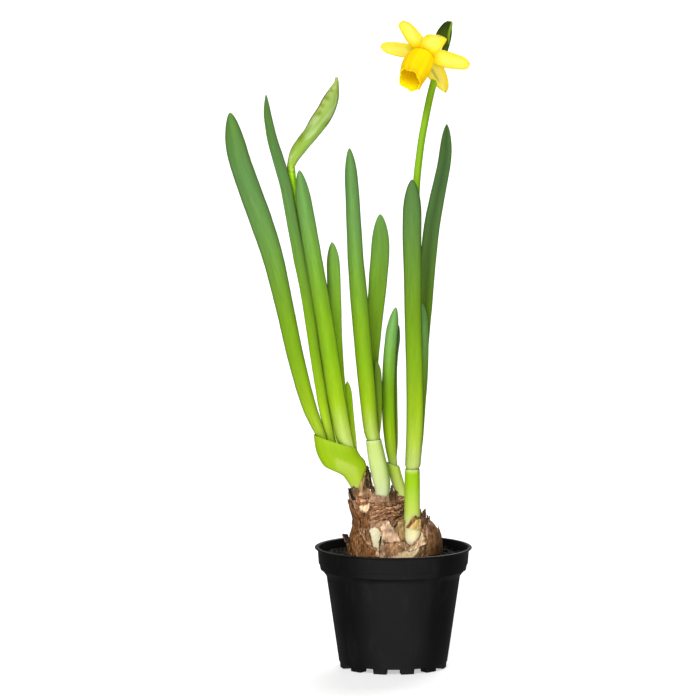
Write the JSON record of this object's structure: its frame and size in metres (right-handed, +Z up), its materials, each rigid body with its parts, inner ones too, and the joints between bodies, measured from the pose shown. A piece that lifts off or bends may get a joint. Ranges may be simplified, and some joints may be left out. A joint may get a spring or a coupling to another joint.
{
  "type": "potted daffodil",
  "caption": "Dwarf daffodil growing from brown bulbs in a small black nursery pot, with long blunt leaves, a closed bud and an open yellow flower.",
  "frame": {"origin": "middle of the bounding box, at the level of the pot's feet", "axes": "+Z up, +Y away from the viewer, +X to the viewer's right"},
  "size_m": [0.1404, 0.09, 0.37],
  "materials": {
    "black_plastic": "satin",
    "peat": "rough",
    "bulb_skin": "papery",
    "sheath_green": "satin",
    "leaf_green": "satin",
    "stem_green": "satin",
    "bud_green": "matte",
    "spathe_green": "matte",
    "petal_yellow": "velvety",
    "corona_yellow": "velvety",
    "stamen_yellow": "matte"
  },
  "bodies": {
    "root": {"pot": "black_plastic", "soil": "peat", "bulb_left": "bulb_skin", "bulb_right": "bulb_skin", "sheath_left": "sheath_green", "sheath_middle": "sheath_green", "sheath_rear": "sheath_green", "sheath_right": "sheath_green", "leaf_left_1": "leaf_green", "leaf_left_2": "leaf_green", "leaf_left_3": "leaf_green", "leaf_left_4": "leaf_green", "leaf_left_5": "leaf_green", "leaf_middle_1": "leaf_green", "leaf_middle_2": "leaf_green", "leaf_middle_3": "leaf_green", "leaf_rear_1": "leaf_green", "leaf_rear_2": "leaf_green", "leaf_right_1": "leaf_green", "leaf_right_2": "leaf_green", "leaf_right_3": "leaf_green", "stem_bud": "stem_green", "stem_flower": "stem_green", "bud": "bud_green", "spathe": "spathe_green", "perianth": "petal_yellow", "corona": "corona_yellow", "stamens": "stamen_yellow"}
  },
  "joints": []
}
